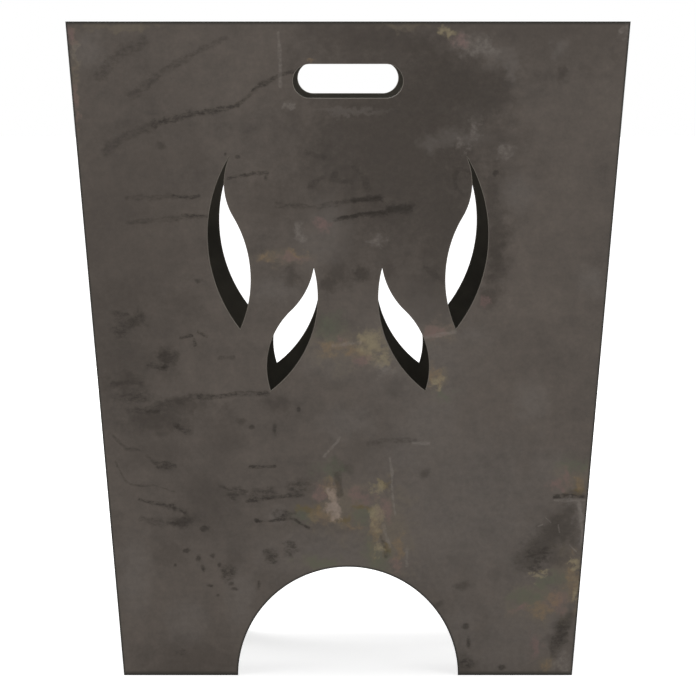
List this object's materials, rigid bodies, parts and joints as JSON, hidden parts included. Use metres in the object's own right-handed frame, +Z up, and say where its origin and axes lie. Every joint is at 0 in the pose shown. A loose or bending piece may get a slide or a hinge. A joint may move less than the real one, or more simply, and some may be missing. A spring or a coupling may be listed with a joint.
{
  "type": "fire basket",
  "caption": "Tapered square fire basket of raw steel plate with flame cut-outs, arched feet, hand slots under the rim and a loose slotted grate on welded lugs.",
  "frame": {"origin": "on the floor under the middle of the basket", "axes": "+Z up, the front panel faces -Y, +X to the right seen from the front"},
  "size_m": [0.512, 0.512, 0.6002],
  "materials": {
    "panel_steel": "raw hot-rolled plate with dark mill scale, heat marks and handling streaks",
    "lug_steel": "raw hot-rolled plate with dark mill scale",
    "grate_steel": "raw hot-rolled plate, sooty",
    "weld_metal": "rippled weld bead with heat tint"
  },
  "bodies": {
    "basket": {"front_panel": "panel_steel", "back_panel": "panel_steel", "left_panel": "panel_steel", "right_panel": "panel_steel", "front_lug": "lug_steel", "back_lug": "lug_steel", "left_lug": "lug_steel", "right_lug": "lug_steel", "front_lug_weld": "weld_metal", "back_lug_weld": "weld_metal", "left_lug_weld": "weld_metal", "right_lug_weld": "weld_metal", "front_left_corner_welds": "weld_metal", "front_right_corner_welds": "weld_metal", "back_left_corner_welds": "weld_metal", "back_right_corner_welds": "weld_metal"},
    "grate": {"fire_grate": "grate_steel"}
  },
  "joints": [
    {"name": "grate_lift", "type": "slide", "parent": "basket", "child": "grate", "axis": [0, 0, 1], "range_m": [0, 0.47]}
  ]
}
